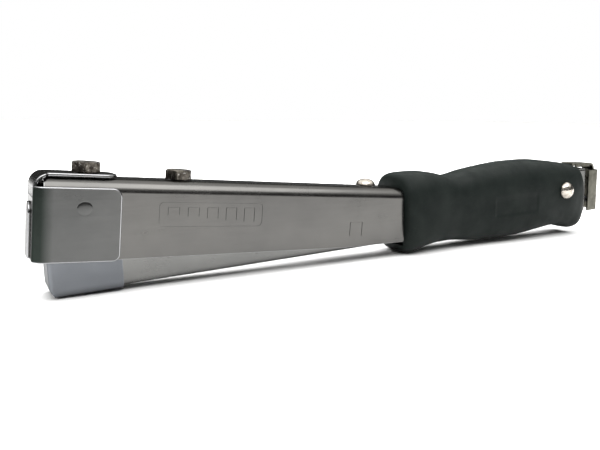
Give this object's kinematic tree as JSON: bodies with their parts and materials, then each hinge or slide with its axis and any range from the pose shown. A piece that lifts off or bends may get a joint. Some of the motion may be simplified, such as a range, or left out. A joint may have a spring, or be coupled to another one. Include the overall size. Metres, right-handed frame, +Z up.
{
  "type": "hammer tacker",
  "caption": "Stapling hammer with a chromed channel head, a swinging staple magazine over a fixed driver blade, a rubber grip and a rear-loading staple drawer.",
  "frame": {"origin": "centre of the bounding box's bottom face, on the surface that the tool stands on with its nose and the grip's front lip", "axes": "+X from the head to the rear of the handle, +Y from the near side in the picture to the far side, +Z up"},
  "size_m": [0.319, 0.0404, 0.0504],
  "materials": {
    "housing_shell": "polished chrome plate",
    "head_cap": "polished chrome plate with fine wear",
    "cap_rivet_near": "nickel plate",
    "cap_rivet_far": "nickel plate",
    "front_bolt": "dark phosphated steel",
    "rear_bolt": "dark phosphated steel",
    "rear_nut": "dark phosphated steel",
    "driver_block": "ground tool steel",
    "driver_blade": "ground tool steel",
    "bump_stop": "black rubber",
    "spring_guide": "turned steel",
    "return_spring": "spring steel",
    "handle_frame": "zinc plate",
    "top_rivet": "bright nickel plate",
    "grip": "satin black rubber",
    "pivot_rivet": "bright nickel plate",
    "magazine_channel": "bright chrome plate",
    "nose_sleeve": "bluish zinc plate, scuffed",
    "stop_pin": "turned steel",
    "pivot_spacer": "turned steel",
    "staple_rail": "ground steel",
    "rail_rivet_front": "zinc plate",
    "rail_rivet_rear": "zinc plate",
    "staple_cover": "zinc plate",
    "staple_strip": "galvanised wire",
    "loader_endcap": "dull warm grey nickel",
    "guide_rod": "zinc plate",
    "rod_nut": "zinc plate",
    "latch_rivet": "dull nickel",
    "pusher": "zinc plate",
    "pusher_spring": "spring steel",
    "latch_arm": "dull warm grey nickel"
  },
  "bodies": {
    "housing": {"housing_shell": "housing_shell", "head_cap": "head_cap", "cap_rivet_near": "cap_rivet_near", "cap_rivet_far": "cap_rivet_far", "front_bolt": "front_bolt", "rear_bolt": "rear_bolt", "rear_nut": "rear_nut", "driver_block": "driver_block", "driver_blade": "driver_blade", "bump_stop": "bump_stop", "spring_guide": "spring_guide", "return_spring": "return_spring", "handle_frame": "handle_frame", "top_rivet": "top_rivet", "grip": "grip", "pivot_rivet": "pivot_rivet"},
    "magazine": {"magazine_channel": "magazine_channel", "nose_sleeve": "nose_sleeve", "stop_pin": "stop_pin", "pivot_spacer": "pivot_spacer", "staple_rail": "staple_rail", "rail_rivet_front": "rail_rivet_front", "rail_rivet_rear": "rail_rivet_rear", "staple_cover": "staple_cover", "staple_strip": "staple_strip"},
    "loader": {"loader_endcap": "loader_endcap", "guide_rod": "guide_rod", "rod_nut": "rod_nut", "latch_rivet": "latch_rivet"},
    "pusher": {"pusher": "pusher", "pusher_spring": "pusher_spring"},
    "latch": {"latch_arm": "latch_arm"}
  },
  "joints": [
    {"name": "magazine_swing", "type": "hinge", "parent": "housing", "child": "magazine", "pos_m": [0.11616, 0, 0.02704], "axis": [0, 1, 0], "range_deg": [0, 2.9], "stiffness_Nm_per_rad": 60, "springref_deg": -2.86, "deforming": ["return_spring"]},
    {"name": "loader_slide", "type": "slide", "parent": "magazine", "child": "loader", "axis": [0.9994, 0, 0.0338], "range_m": [0, 0.14]},
    {"name": "pusher_slide", "type": "slide", "parent": "loader", "child": "pusher", "axis": [0.9994, 0, 0.0338], "range_m": [0, 0.045], "stiffness_N_per_m": 60, "springref_m": -0.05, "deforming": ["pusher_spring"]},
    {"name": "latch_lift", "type": "hinge", "parent": "loader", "child": "latch", "pos_m": [0.15651, 0, 0.02941], "axis": [0, 1, 0], "range_deg": [0, 6], "stiffness_Nm_per_rad": 0.05, "springref_deg": -5.73}
  ]
}
